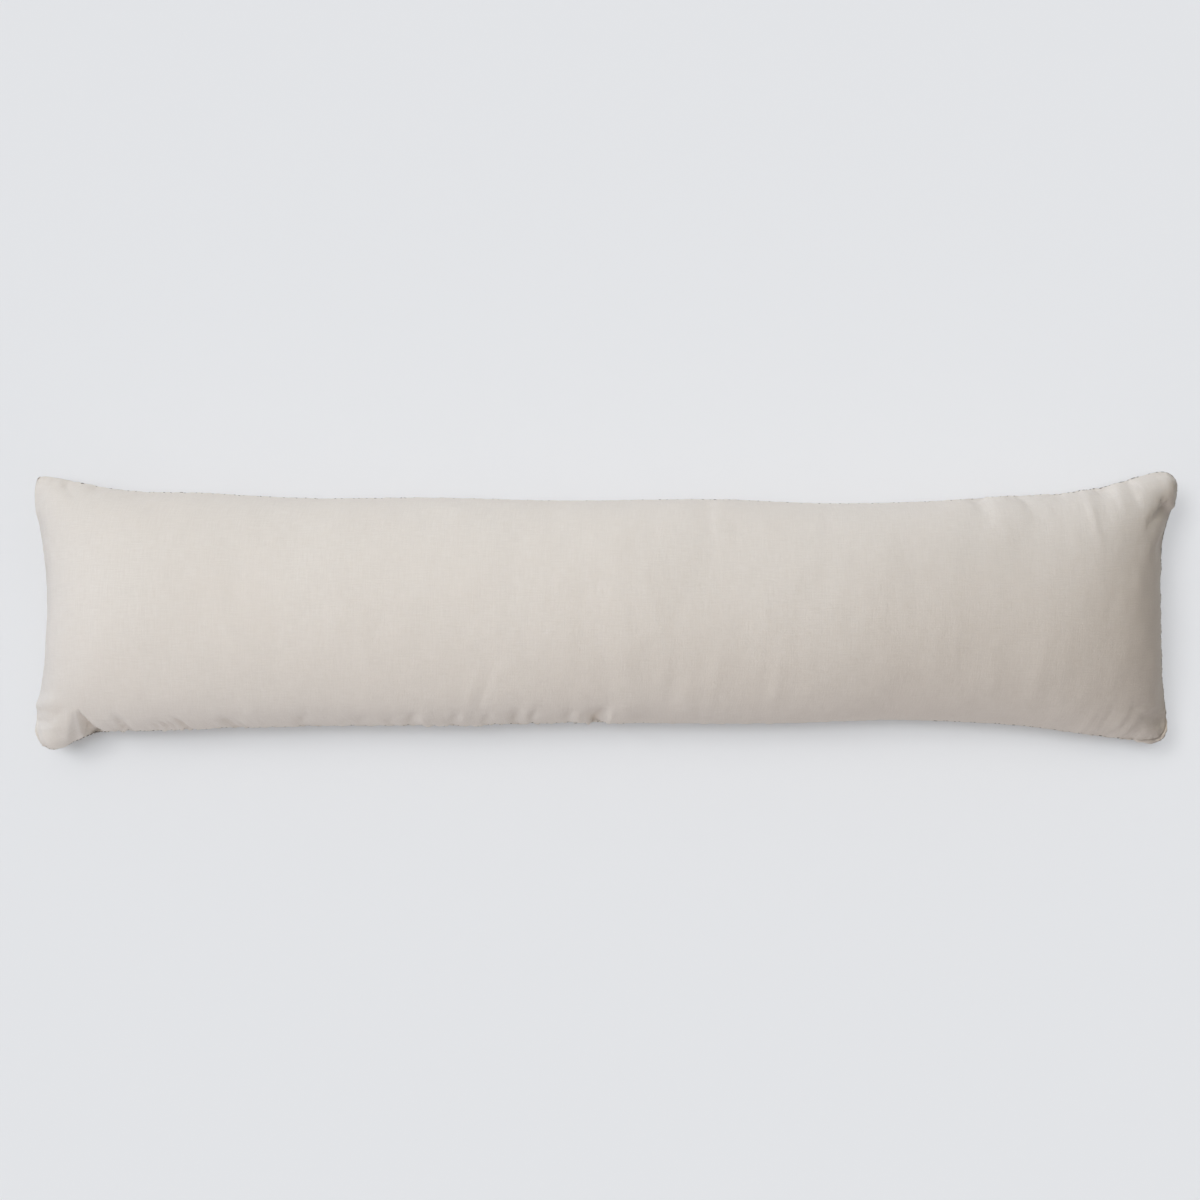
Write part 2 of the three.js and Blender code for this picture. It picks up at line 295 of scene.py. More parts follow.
# Soft ripples across the face, in millimetres: the place along, how far it leans from the near to the
# far side, the place across of its middle, the half width, the half length and the height.
RIPPLES = (
    (-137, 20, -82, 5, 26, 0.6),
    (-125, 26, -84, 4, 30, -0.6),
    (60, 10, -70, 8, 38, 0.4),
    (84, 14, -72, 8, 34, 0.4),
    (112, 12, -66, 7, 40, 0.4),
    (176, 10, -66, 7, 30, 0.6),
    (20, 8, -40, 9, 55, 0.35),
    (-36, 6, -20, 10, 60, 0.35),
    (86, -4, 88, 7, 26, 0.25),
    (107, -6, 94, 6, 20, -0.5),
    (121, -6, 90, 7, 24, 0.2),
    (387, -10, 108, 6, 12, -1.4),
    (401, -10, 102, 7, 18, 0.45),
    (436, -8, 108, 6, 14, -0.8),
    (455, -8, 102, 8, 20, 0.5),
    (500, -8, 98, 5, 26, 1.2),
    (514, -8, 106, 5, 14, -0.5),
    (531, -6, 116, 5, 14, 0.9),
    (546, -6, 120, 5, 13, -1.2),
    (438, 10, -78, 11, 26, 0.6),
    (-433, 6, 92, 8, 20, 0.5),
    (-366, 6, 92, 8, 18, 0.4),
    (-499, -8, -117, 5, 8, -4.2),
    (-389, -6, -115, 6, 6, -5.0),
    (-377, -6, -116, 4, 6, -2.4),
    (-366, 6, -104, 7, 12, 0.6),
    (-312, 5, -114, 6, 6, -2.8),
    (-270, 5, -104, 8, 14, 0.5),
    (-185, 6, -106, 7, 12, 0.6),
    (-92, 6, -110, 5, 8, -2.8),
    (-78, 6, -100, 7, 14, 0.5),
    (-38, 6, -110, 6, 8, -2.8),
    (-28, 6, -108, 4, 8, 0.7),
    (-6, 6, -109, 7, 8, -5.4),
    (6, 4, -109, 4, 9, 1.8),
    (-463, -6, -119.5, 2.6, 4, -2.8),
    (-454, -9, -119, 2.4, 5, -3.4),
    (-446, -8, -118.5, 2.2, 5, -2.6),
    (-437, -9, -117, 3.0, 6, -4.2),
    (-250, 4, -113, 7, 6, -2.0),
    (-221, 4, -113, 5, 6, -1.8),
    (-199, 4, -112, 6, 7, -3.4),
    (-155, 6, -111, 5, 7, -2.4),
    (-122, 4, -111, 4, 6, -1.8),
    (-74, 4, -109, 4, 7, -2.4),
    (532, 14, -114, 5, 13, 0.8),
    (518, 14, -110, 5, 13, -0.6),
    (500, 14, -110, 6, 13, 0.6),
)

# The seed of everything uneven. The smooth noise is read in layers, a step apart: the seam's wander, the
# first size of lump, with the other sizes after it, and each face's puckers. A factor brings it to about 1
# at its highest.
SEED = 12
WANDER_LAYER = 1
LUMP_LAYER = 2
PUCKER_LAYERS = {"upper": 5, "lower": 6}
LAYER_STEP = 7.3
NOISE_FACTOR = 1.6

# Both cloths: colours of the yarn, and of the painted shade between the threads, and in metres the thread
# pitch and the heights of the relief.
BACK_CLOTH = {
    "deep": (0.735, 0.675, 0.605, 1.0),
    "pale": (0.795, 0.740, 0.672, 1.0),
    "cloud": (0.775, 0.705, 0.630, 1.0),
    "cloud_share": 0.45,
    "gap": (0.50, 0.44, 0.38, 1.0),
    "gap_shade_share": 0.35,
    "pitch": 0.00048,
    "weave_height": 0.00009,
    "slub_height": 0.00017,
    "wander_height": 0.0012,
    "grain_height": 0.00018,
    "roughness": 0.92,
    "sheen": 0.12,
}
FRONT_CLOTH = {
    **BACK_CLOTH,
    "deep": (0.69, 0.625, 0.55, 1.0),
    "pale": (0.78, 0.72, 0.65, 1.0),
    "pitch": 0.00085,
    "weave_height": 0.00016,
}

# How fine the cloth's unevenness is, in spots to a metre: the slow wander of the yarn, its grain, the
# cloudy patches, and the slubs along and across the pillow.
WANDER_SCALE = 35.0
GRAIN_SCALE = 420.0
CLOUD_SCALE = 9.0
SLUB_SCALES = ((70.0, 800.0, 1.0), (800.0, 55.0, 1.0))
# The values of that unevenness, and of the weave for the painted shade between the threads, between which
# the colour turns from one to the other.
TONE_RANGE = (0.72, 1.28)
CLOUD_RANGE = (0.3, 0.7)
GAP_SHADE_RANGE = (0.0, 0.7)
# How much the cloth shines, and how rough its sheen is.
CLOTH_GLOSS = 0.25
SHEEN_ROUGHNESS = 0.5

# The threads: their colours, how fine the plies are, how much paler the plies' fine spots are, and the
# roughness.
SEWING_COLOUR = (0.62, 0.56, 0.50, 1.0)
# The dark colour is partly the under cloth's dark yarn and partly painted shade in the seam's groove and at
# the cover's edge.
DARK_YARN_AND_SHADE_COLOUR = (0.13, 0.108, 0.092, 1.0)
PLY_SCALE = 2600.0
PLY_PALER = 1.12
THREAD_ROUGHNESS = 0.7

# The floor: its colour, how much paler it is in places and how many such spots to a metre, and its size
# in metres. It lies a little under the pillow, so that the two never share a plane.
FLOOR_COLOUR = (0.80, 0.805, 0.82, 1.0)
FLOOR_PALER = 1.004
FLOOR_SCALE = 2.0
FLOOR_HALF_WIDTH = 30.0
FLOOR_CORNERS = ((-1, -1), (1, -1), (1, 1), (-1, 1))
FLOOR_HEIGHT = -0.0004

# The light: a faint even room, the pale backdrop that the camera sees past the floor, lights that fall on
# the pillow alone, and lights for the floor and its shadow alone. Each has its strength, its colour, how
# wide it is (a sun's angle, an area light's side in metres), its place, which has no effect on a sun, and
# the way that it travels in. The strengths and colours weren't chosen by hand: another program fitted
# them to the photo, and picked the lights to keep out of a longer row, and they were then rounded.
ROOM = {"Color": (1.0, 1.0, 1.0, 1.0), "Strength": 0.05}
BACKDROP = {"Color": (0.772, 0.781, 0.799, 1.0), "Strength": 1.0}
SUN_PLACE = (0.0, 0.0, 2.0)
LIGHTS = (
    ("left_light", "pillow", "SUN", 0.88, (1.04, 1.0, 0.93), 0.35, SUN_PLACE, (0.61, -0.35, -0.71)),
    ("low_light", "pillow", "SUN", 0.65, (0.73, 1.0, 1.49), 0.6, SUN_PLACE, (0.48, -0.84, -0.26)),
    ("far_light", "pillow", "SUN", 0.75, (1.11, 1.0, 0.81), 1.0, SUN_PLACE, (0.0, -0.87, -0.5)),
    ("near_light", "pillow", "SUN", 0.67, (1.15, 1.0, 0.95), 1.0, SUN_PLACE, (0.0, 0.87, -0.5)),
    ("high_fill", "pillow", "AREA", 6.01, (0.94, 1.0, 1.06), 0.8, (-0.3, 0.1, 1.3), (0.1, -0.1, -1.2)),
    ("near_fill", "pillow", "AREA", 4.06, (0.86, 1.0, 1.21), 1.0, (-1.2, -0.8, 1.0), (1.0, 0.8, -0.93)),
    ("floor_light", "floor", "SUN", 0.63, (0.99, 1.0, 1.01), 0.35, SUN_PLACE, (0.37, -0.21, -0.91)),
    ("floor_far_light", "floor", "SUN", 0.30, (1.08, 1.0, 0.93), 0.6, SUN_PLACE, (0.17, -0.30, -0.94)),
    ("floor_high_light", "floor", "SUN", 0.82, (0.94, 1.0, 1.06), 0.3, SUN_PLACE, (0.06, -0.06, -1.00)),
    ("floor_sky", "floor", "SUN", 1.20, (1.0, 1.0, 1.0), 3.1, SUN_PLACE, (0.01, -0.01, -1.0)),
)


# The seam of the solid


def welded(node):
    """The solid's surface as one welded bmesh."""
    mesh = bmesh.new()
    mesh.from_mesh(node.data)
    bmesh.ops.remove_doubles(mesh, verts=mesh.verts, dist=2e-5)
    mesh.normal_update()
    return mesh


def rim_points(solid):
    """The knife edge as an array of points, anticlockwise: where an upper face meets a lower one."""
    neighbours = {}
    for edge in solid.edges:
        if len(edge.link_faces) != 2:
            continue
        first, second = edge.link_faces
        if (first.normal.z > 0) != (second.normal.z > 0):
            a, b = edge.verts
            neighbours.setdefault(a, []).append(b)
            neighbours.setdefault(b, []).append(a)
    start = max(neighbours, key=lambda vertex: vertex.co.y - vertex.co.x)
    order = [start]
    before = None
    while True:
        onward = [vertex for vertex in neighbours[order[-1]] if vertex is not before]
        before = order[-1]
        if onward[0] is start:
            break
        order.append(onward[0])
    points = np.array([vertex.co[:] for vertex in order])
    after = np.roll(points, -1, axis=0)
    turning = np.sum(points[:, 0] * after[:, 1] - points[:, 1] * after[:, 0])
    return points if turning > 0 else points[::-1]


def rim_sides(points):
    """The knife edge's four sides, from left to right or from near to far."""

    def corner(x_sign, y_sign):
        return int(np.argmax(x_sign * points[:, 0] + y_sign * points[:, 1]))

    def stretch(first, last):
        count = (last - first) % len(points)
        return points[(first + np.arange(count + 1)) % len(points)]

    near_left, near_right = corner(-1, -1), corner(1, -1)
    far_left, far_right = corner(-1, 1), corner(1, 1)
    return {
        "near": stretch(near_left, near_right),
        "right": stretch(near_right, far_right),
        "far": stretch(far_right, far_left)[::-1],
        "left": stretch(far_left, near_left)[::-1],
    }


def along(line, shares):
    """Points at the given shares of a line's length."""
    steps = np.linalg.norm(np.diff(line, axis=0), axis=1)
    reach = np.concatenate([[0.0], np.cumsum(steps)])
    columns = [np.interp(shares * reach[-1], reach, line[:, axis]) for axis in range(3)]
    return np.stack(columns, axis=-1)


# Laying the flat panels over the solid


def coarse_places(way):
    """Places 0 to 1 of the settling grid's lines, closer together at both ends."""
    even = np.linspace(0.0, 1.0, CELLS[way] + 1)
    return even * (1 - CROWDING[way]) + (1 - np.cos(np.pi * even)) / 2 * CROWDING[way]


def filled(sides, u, v):
    """The surface that fills the four sides evenly, at every pair of the shares u and v."""
    near, far = along(sides["near"], u)[:, None], along(sides["far"], u)[:, None]
    left, right = along(sides["left"], v)[None], along(sides["right"], v)[None]
    u = u[:, None, None]
    v = v[None, :, None]
    corners = (
        near[:1] * (1 - u) * (1 - v)
        + near[-1:] * u * (1 - v)
        + far[:1] * (1 - u) * v
        + far[-1:] * u * v
    )
    return near * (1 - v) + far * v + left * (1 - u) + right * u - corners


def onto_solid(tree, patch, upward):
    """The patch's inner points, each moved straight up or down onto the solid."""
    panel = patch.copy()
    start = CLEAR if upward else -CLEAR
    way = DOWN if upward else UP
    for i in range(1, panel.shape[0] - 1):
        for j in range(1, panel.shape[1] - 1):
            x, y, _ = panel[i, j]
            hit = tree.ray_cast(Vector((x, y, start)), way)[0]
            if hit is not None:
                panel[i, j, 2] = hit.z
    return panel


def between(grid, u, v):
    """The grid's values at places between its lines, u and v from 0 to 1."""
    x = u * (grid.shape[0] - 1)
    y = v * (grid.shape[1] - 1)
    i = np.clip(x.astype(int), 0, grid.shape[0] - 2)
    j = np.clip(y.astype(int), 0, grid.shape[1] - 2)
    fx = (x - i)[..., None]
    fy = (y - j)[..., None]
    near = grid[i, j] * (1 - fx) + grid[i + 1, j] * fx
    far = grid[i, j + 1] * (1 - fx) + grid[i + 1, j + 1] * fx
    return near * (1 - fy) + far * fy


def lay_cloth(dense, s, t):
    """Points of the dense panel spaced as the flat cloth is: evenly by length, both ways."""
    u_places = np.linspace(0.0, 1.0, dense.shape[0])
    v_places = np.linspace(0.0, 1.0, dense.shape[1])

    def reach(axis):
        steps = np.linalg.norm(np.diff(dense, axis=axis), axis=2)
        total = np.cumsum(steps, axis=axis)
        start = np.zeros_like(total.take([0], axis=axis))
        total = np.concatenate([start, total], axis=axis)
        return total / total.take([-1], axis=axis)

    lengthwise, crosswise = reach(0), reach(1)
    columns, rows = range(dense.shape[1]), range(dense.shape[0])
    u_table = np.stack([np.interp(s, lengthwise[:, j], u_places) for j in columns], axis=1)
    v_table = np.stack([np.interp(t, crosswise[i], v_places) for i in rows], axis=0)
    u = np.repeat(s[:, None], len(t), axis=1)
    v = np.repeat(t[None, :], len(s), axis=0)
    for _ in range(LAYING_ROUNDS):
        u = np.stack([np.interp(v[i], v_places, u_table[i]) for i in range(len(s))], axis=0)
        v = np.stack([np.interp(u[:, j], u_places, v_table[:, j]) for j in range(len(t))], axis=1)
    return between(dense, u, v)


def flat_cut(s, t):
    """Where the grid's points lie on the flat panel, whose corners are rounded."""
    x = np.repeat((s * CUT_LENGTH)[:, None], len(t), axis=1)
    y = np.repeat((t * CUT_WIDTH)[None, :], len(s), axis=0)
    for x_sign in (-1, 1):
        for y_sign in (-1, 1):
            centre_x = CUT_CORNER if x_sign < 0 else CUT_LENGTH - CUT_CORNER
            centre_y = CUT_CORNER if y_sign < 0 else CUT_WIDTH - CUT_CORNER
            a = (x - centre_x) * x_sign / CUT_CORNER
            b = (y - centre_y) * y_sign / CUT_CORNER
            inside = (a > 0) & (b > 0)
            round_a = a * np.sqrt(np.clip(1 - b * b / 2, 0, 1))
            round_b = b * np.sqrt(np.clip(1 - a * a / 2, 0, 1))
            x = np.where(inside, centre_x + round_a * CUT_CORNER * x_sign, x)
            y = np.where(inside, centre_y + round_b * CUT_CORNER * y_sign, y)
    return x, y


# Settling the cloth


def bell(distance, width):
    """1 at no distance, and all but faded at twice the width."""
    return np.exp(-((distance / width) ** 2))


def outward(points, upward):
    """The unit normal at each point of a panel."""
    normal = np.cross(np.gradient(points, axis=0), np.gradient(points, axis=1))
    length = np.maximum(np.linalg.norm(normal, axis=-1, keepdims=True), TINY_AREA)
    return normal / length * (1 if upward else -1)


def gathered(points, flat_y, which):
    """At each point, how much the gathers lift it at the start, or the extra share of cloth there."""
    total = np.zeros_like(flat_y)
    for side, place, width, reach, extra, lift in GATHERS:
        inwards = flat_y if side == "near" else CUT_WIDTH - flat_y
        shape = bell(points[..., 0] - place * MM, width * MM) * np.exp(-inwards / (reach * MM))
        total += shape * (lift if which == "lift" else extra)
    return total


def threads(points, flat, shares):
    """Every run of threads that can be pulled at once: its two ends, rest lengths and stiffness."""
    runs = []
    for odd in (0, 1):
        rows = (points.shape[0] - odd) // 2 * 2
        columns = (points.shape[1] - odd) // 2 * 2
        even_rows, odd_rows = slice(odd, odd + rows, 2), slice(odd + 1, odd + rows, 2)
        even_columns, odd_columns = slice(odd, odd + columns, 2), slice(odd + 1, odd + columns, 2)
        every = slice(None)
        runs.append(((even_rows, every), (odd_rows, every), shares, THREAD_STIFFNESS))
        runs.append(((every, even_columns), (every, odd_columns), None, THREAD_STIFFNESS))
        runs.append(((even_rows, slice(None, -1)), (odd_rows, slice(1, None)), None, SKEW_STIFFNESS))
        runs.append(((even_rows, slice(1, None)), (odd_rows, slice(None, -1)), None, SKEW_STIFFNESS))
    free = np.ones(points.shape[:2])
    free[[0, -1], :] = 0
    free[:, [0, -1]] = 0
    made = []
    for a, b, share, stiffness in runs:
        cut = np.linalg.norm(flat[b] - flat[a], axis=-1)
        laid = np.linalg.norm(points[b] - points[a], axis=-1)
        rest = cut * (1 - EASED) + laid * EASED
        if share is not None:
            rest = rest * (1 + (share[a] + share[b]) / 2)
        made.append((a, b, rest, free[a], free[b], stiffness))
    return made, free


def settle(points, flat, shares, upward):
    """One panel settled: the seam is held, stuffing presses outwards and threads keep their length."""
    points = points.copy()
    speed = np.zeros_like(points)
    runs, free = threads(points, flat, shares)
    for _ in range(STEPS):
        speed = (speed + outward(points, upward) * PRESSURE * free[..., None]) * DRAG
        before = points.copy()
        points += speed
        for a, b, rest, free_a, free_b, stiffness in runs:
            gap = points[b] - points[a]
            length = np.sqrt((gap * gap).sum(axis=-1))
            off = length - rest
            pull = np.where(off > 0, stiffness["stretch"], stiffness["squeeze"])
            move = gap * (pull * off / np.maximum(length * (free_a + free_b), TINY))[..., None]
            points[a] += move * free_a[..., None]
            points[b] -= move * free_b[..., None]
        bend_rows = ((points[:-2, 1:-1] + points[2:, 1:-1]) / 2 - points[1:-1, 1:-1]) * BENDING
        bend_columns = ((points[1:-1, :-2] + points[1:-1, 2:]) / 2 - points[1:-1, 1:-1]) * BENDING
        points[1:-1, 1:-1] += bend_rows + bend_columns
        points[1:-2, 1:-1] -= bend_rows[1:] / 2
        points[2:-1, 1:-1] -= bend_rows[:-1] / 2
        points[1:-1, 1:-2] -= bend_columns[:, 1:] / 2
        points[1:-1, 2:-1] -= bend_columns[:, :-1] / 2
        points[..., 2] = np.maximum(points[..., 2], 0)
        speed = points - before
    return points


def settled_panel(tree, patch, upward):
    """One panel, laid over the solid and settled."""
    s, t = coarse_places("lengthwise"), coarse_places("crosswise")
    laid = lay_cloth(onto_solid(tree, patch, upward), s, t)
    flat_x, flat_y = flat_cut(s, t)
    flat = np.stack([flat_x, flat_y], axis=-1)
    shares = gathered(laid, flat_y, "extra")
    lift = gathered(laid, flat_y, "lift") * GATHER_START
    started = laid + outward(laid, upward) * lift[..., None]
    started[[0, -1], :] = laid[[0, -1], :]
    started[:, [0, -1]] = laid[:, [0, -1]]
    moved = settle(started, flat, shares, upward) - laid
    distance = np.linalg.norm(moved, axis=-1, keepdims=True)
    return laid + moved * np.minimum(1.0, FURTHEST_MOVE / np.maximum(distance, TINY))


# The finished panels


def fine_places(length, zone, wide_step):
    """Shares of a length: closest beside the seam at both ends, close in the outer zones, then wider."""
    seam = np.array(SEAM_PLACES)
    outer = np.linspace(seam[-1], zone, round((zone - seam[-1]) / CLOSE_STEP) + 1)
    middle = np.linspace(zone, length - zone, round((length - 2 * zone) / wide_step) + 1)
    half = np.concatenate([seam[:-1], outer[:-1]])
    return np.concatenate([half, middle, (length - half)[::-1]]) / length


def curve_weights(f):
    """The weights of four points in a row on a smooth curve, at the share f between the middle two."""
    return (
        (-f + 2 * f**2 - f**3) / 2,
        (2 - 5 * f**2 + 3 * f**3) / 2,
        (f + 4 * f**2 - 3 * f**3) / 2,
        (f**3 - f**2) / 2,
    )


def sampled(panel, s_places, t_places):
    """Points on the panel's smooth surface, at shares of its length and width."""
    x = np.interp(s_places, coarse_places("lengthwise"), np.arange(panel.shape[0]))
    y = np.interp(t_places, coarse_places("crosswise"), np.arange(panel.shape[1]))
    i = np.clip(x.astype(int), 0, panel.shape[0] - 2)
    j = np.clip(y.astype(int), 0, panel.shape[1] - 2)
    padded = np.pad(panel, ((1, 1), (1, 1), (0, 0)), mode="reflect", reflect_type="odd")
    total = np.zeros(x.shape + (3,))
    for a, weight_a in enumerate(curve_weights(x - i)):
        for b, weight_b in enumerate(curve_weights(y - j)):
            total += padded[i + a, j + b] * (weight_a * weight_b)[..., None]
    return total


def cut_shares(x, y):
    """The shares of length and width of points on the flat panel, which undoes flat_cut."""
    s = x / CUT_LENGTH
    t = y / CUT_WIDTH
    for x_sign in (-1, 1):
        for y_sign in (-1, 1):
            centre_x = CUT_CORNER if x_sign < 0 else CUT_LENGTH - CUT_CORNER
            centre_y = CUT_CORNER if y_sign < 0 else CUT_WIDTH - CUT_CORNER
            a = (x - centre_x) * x_sign / CUT_CORNER
            b = (y - centre_y) * y_sign / CUT_CORNER
            inside = (a > 0) & (b > 0)
            skew_a, skew_b = 2 * math.sqrt(2) * a, 2 * math.sqrt(2) * b
            sum_a, sum_b = 2 + a * a - b * b, 2 - a * a + b * b
            square_a = (np.sqrt(np.maximum(sum_a + skew_a, 0)) - np.sqrt(np.maximum(sum_a - skew_a, 0))) / 2
            square_b = (np.sqrt(np.maximum(sum_b + skew_b, 0)) - np.sqrt(np.maximum(sum_b - skew_b, 0))) / 2
            s = np.where(inside, (centre_x + square_a * CUT_CORNER * x_sign) / CUT_LENGTH, s)
            t = np.where(inside, (centre_y + square_b * CUT_CORNER * y_sign) / CUT_WIDTH, t)
    return s, t


def seam_foot(x, y):
    """From points of the flat panel: the distance to the seam, its nearest point, and the way in."""
    centre_x = np.clip(x, CUT_CORNER, CUT_LENGTH - CUT_CORNER)
    centre_y = np.clip(y, CUT_CORNER, CUT_WIDTH - CUT_CORNER)
    corner = (centre_x != x) & (centre_y != y)
    reach = np.maximum(np.hypot(x - centre_x, y - centre_y), TINY)
    sides = np.stack([x, CUT_LENGTH - x, y, CUT_WIDTH - y])
    nearest = np.argmin(sides, axis=0)
    way_x = np.where(corner, (centre_x - x) / reach, np.choose(nearest, (1.0, -1.0, 0.0, 0.0)))
    way_y = np.where(corner, (centre_y - y) / reach, np.choose(nearest, (0.0, 0.0, 1.0, -1.0)))
    distance = np.where(corner, CUT_CORNER - reach, sides.min(axis=0))
    return distance, (x - way_x * distance, y - way_y * distance), (way_x, way_y)


def spots(points, table):
    """At each point, the sum of the table's soft round spots: x, y, half length, value."""
    total = np.zeros(points.shape[:2])
    for x, y, half_length, value in table:
        distance = np.hypot(points[..., 0] - x * MM, points[..., 1] - y * MM)
        total += value * bell(distance, half_length * MM)
    return total


def unevenness(x, y, pitch, layer):
    """Smooth noise from -1 to 1 at flat points, with about the given pitch."""
    depth = layer * LAYER_STEP + SEED
    values = [noise.noise(Vector((a, b, depth))) for a, b in zip((x / pitch).ravel(), (y / pitch).ravel())]
    return np.array(values).reshape(x.shape) * NOISE_FACTOR


def rolled(upper, lower, flat, facing_up):
    """The fine points of a panel, with the seam rolled over where the table says."""
    distance, foot, way = seam_foot(*flat)
    seam_points = sampled(upper, *cut_shares(*foot))
    wander = SEAM_WANDER["height"] * unevenness(*foot, SEAM_WANDER["pitch"], WANDER_LAYER)
    roll = spots(seam_points, SEAM_ROLLS) + wander
    place = distance if facing_up else -distance
    place = place + roll * MM * bell(distance, ROLL_REACH)
    inward = np.abs(place)
    shares = cut_shares(foot[0] + way[0] * inward, foot[1] + way[1] * inward)
    return np.where((place > 0)[..., None], sampled(upper, *shares), sampled(lower, *shares))


def fold_height(points, line, widths, heights, steepness, creased):
    """The height of one fold at each point, seen from above. Its steep side is on the line's left."""
    line = np.array(line) * MM
    legs = np.diff(line, axis=0)
    lengths = np.linalg.norm(legs, axis=1)
    starts = np.concatenate([[0.0], np.cumsum(lengths)])
    best = np.full(points.shape[:2], np.inf)
    share = np.zeros(points.shape[:2])
    side = np.zeros(points.shape[:2])
    for start, leg, length, reached in zip(line[:-1], legs, lengths, starts):
        offset = points[..., :2] - start
        onward = (offset @ leg) / length
        held = np.clip(onward, 0, length)
        away = np.linalg.norm(offset - held[..., None] * leg / length, axis=-1)
        nearer = away < best
        best = np.where(nearer, away, best)
        share = np.where(nearer, (reached + held) / starts[-1], share)
        turned = (leg[0] * offset[..., 1] - leg[1] * offset[..., 0]) / length
        side = np.where(nearer, turned, side)
    width = (widths[0] + (widths[1] - widths[0]) * share) * MM
    height = (heights[0] + (heights[1] - heights[0]) * share) * MM
    if creased:
        gentle = np.clip(1 - (best / width) ** CREASE_CURVE, 0, 1)
    else:
        gentle = bell(best, width)
    return height * np.where(side > 0, bell(best, width * steepness), gentle)


def finished(points, flat, facing_up, folds):
    """A panel with its ear folds, lumps and ripples, and with the seam's rolls and puckers."""
    distance, foot, _ = seam_foot(*flat)
    away = outward(points, facing_up)
    from_floor = np.clip(points[..., 2] / WHOLE_LUMPS, 0, 1)
    inner = np.clip(distance / WHOLE_LUMPS, 0, 1)
    rise = np.zeros(points.shape[:2])
    for layer, (along_pitch, across_pitch, height) in enumerate(LUMPS):
        places = flat[0] / (along_pitch * MM), flat[1] / (across_pitch * MM)
        rise += height * MM * unevenness(*places, 1.0, LUMP_LAYER + layer) * inner * from_floor
    if facing_up:
        for place, lean, middle, half_width, half_length, height in RIPPLES:
            across = (points[..., 1] - middle * MM) / (half_length * MM)
            line = (place + lean * across / 2) * MM
            rise += height * MM * bell(points[..., 0] - line, half_width * MM) * bell(across, 1)
        for x, y, half_length, half_width, height in SWELLS:
            along_swell = bell(points[..., 0] - x * MM, half_length * MM)
            rise += height * MM * along_swell * bell(points[..., 1] - y * MM, half_width * MM)
        rise += folds * np.clip(distance / WHOLE_FOLDS, 0, 1)
    near_seam = distance / (SEAM["roll_place"] * MM)
    rise += SEAM["roll"] * MM * near_seam * np.exp(1 - near_seam)
    pucker = SEAM["pucker"] + spots(points, PUCKER_SPOTS)
    height = pucker * MM * np.exp(-distance / (SEAM["pucker_reach"] * MM)) * np.clip(near_seam, 0, 1)
    layer = PUCKER_LAYERS["upper" if facing_up else "lower"]
    rise += height * unevenness(*foot, SEAM["pucker_pitch"] * MM, layer)
    rolled_over = np.clip(spots(points, SEAM_ROLLS), 0, None) * MM
    rise -= ROLLED_GROOVE["share"] * rolled_over * bell(distance, ROLLED_GROOVE["width"])
    made = points + away * rise[..., None]
    made[..., 2] = np.maximum(made[..., 2], 0)
    return made


def border(shape):
    """A mask of the grid's outermost points."""
    mask = np.ones(shape, dtype=bool)
    mask[1:-1, 1:-1] = False
    return mask


def round_border(rows, columns):
    """The rows and the columns of the grid's outermost points, in order round it."""
    up, over = np.arange(rows - 1), np.arange(columns - 1)
    first_row, last_row = np.zeros_like(over), np.full_like(over, rows - 1)
    first_column, last_column = np.zeros_like(up), np.full_like(up, columns - 1)
    return (
        np.concatenate([up, last_row, rows - 1 - up, first_row]),
        np.concatenate([first_column, over, last_column, columns - 1 - over]),
    )


def panel_numbers(rows, columns):
    """Vertex numbers of the upper and lower grids, which share their border."""
    upper = np.arange(rows * columns).reshape(rows, columns)
    lower = upper.copy()
    inner = (rows - 2) * (columns - 2)
    lower[1:-1, 1:-1] = rows * columns + np.arange(inner).reshape(rows - 2, columns - 2)
    return upper, lower


def quads(grid, facing_up):
    """The grid's faces, turned so that they point out of the pillow."""
    a, b, c, d = grid[:-1, :-1], grid[1:, :-1], grid[1:, 1:], grid[:-1, 1:]
    order = (a, b, c, d) if facing_up else (d, c, b, a)
    return np.stack(order, axis=-1).reshape(-1, 4)


def joined(upper_values, lower_values):
    """The values of the two grids as one list, in the order of the vertex numbers."""
    width = upper_values.shape[2:]
    inner = lower_values[1:-1, 1:-1].reshape((-1,) + width)
    return np.concatenate([upper_values.reshape((-1,) + width), inner])


def new_piece(name, points, faces):
    """An object at the origin with the points and faces as its mesh."""
    mesh = bpy.data.meshes.new(name)
    mesh.from_pydata(np.asarray(points).tolist(), [], np.asarray(faces).tolist())
    mesh.update()
    piece = bpy.data.objects.new(name, mesh)
    bpy.context.scene.collection.objects.link(piece)
    return piece


def on_cover(tree, place):
    """The place on the cover's upper face, moved inwards until it is over the cover."""
    above = Vector((*place, CLEAR))
    middle = Vector((*(min(max(at, -half), half) for at, half in zip(place, MIDDLE_ZONE)), CLEAR))
    step = (middle - above).normalized() * DASH_STEP
    while tree.ray_cast(above, DOWN)[0] is None:
        above += step
    return tree.ray_cast(above + step * (DASH_INSET / DASH_STEP), DOWN)[0]


def dash_places(tree):
    """The places and sizes of every dash and tick: partly the under cloth's dark yarn, partly painted
    shade.
    """
    chance = np.random.default_rng(SEED)
    wanted = [(x * MM, y * MM, size) for x, y, size in DASHES]
    for first, last, pitch, size in TICKS:
        first, last = np.array(first), np.array(last)
        count = round(np.linalg.norm(last - first) / pitch)
        shares = (np.arange(count) + chance.random(count)) / count
        sizes = size * (SMALLEST_TICK + (1 - SMALLEST_TICK) * chance.random(count))
        for share, value in zip(shares, sizes):
            wanted.append((*((first + (last - first) * share) * MM), value))
    places = np.array([on_cover(tree, (x, y))[:] for x, y, _ in wanted])
    return places, np.array([size for _, _, size in wanted])


# Nodes


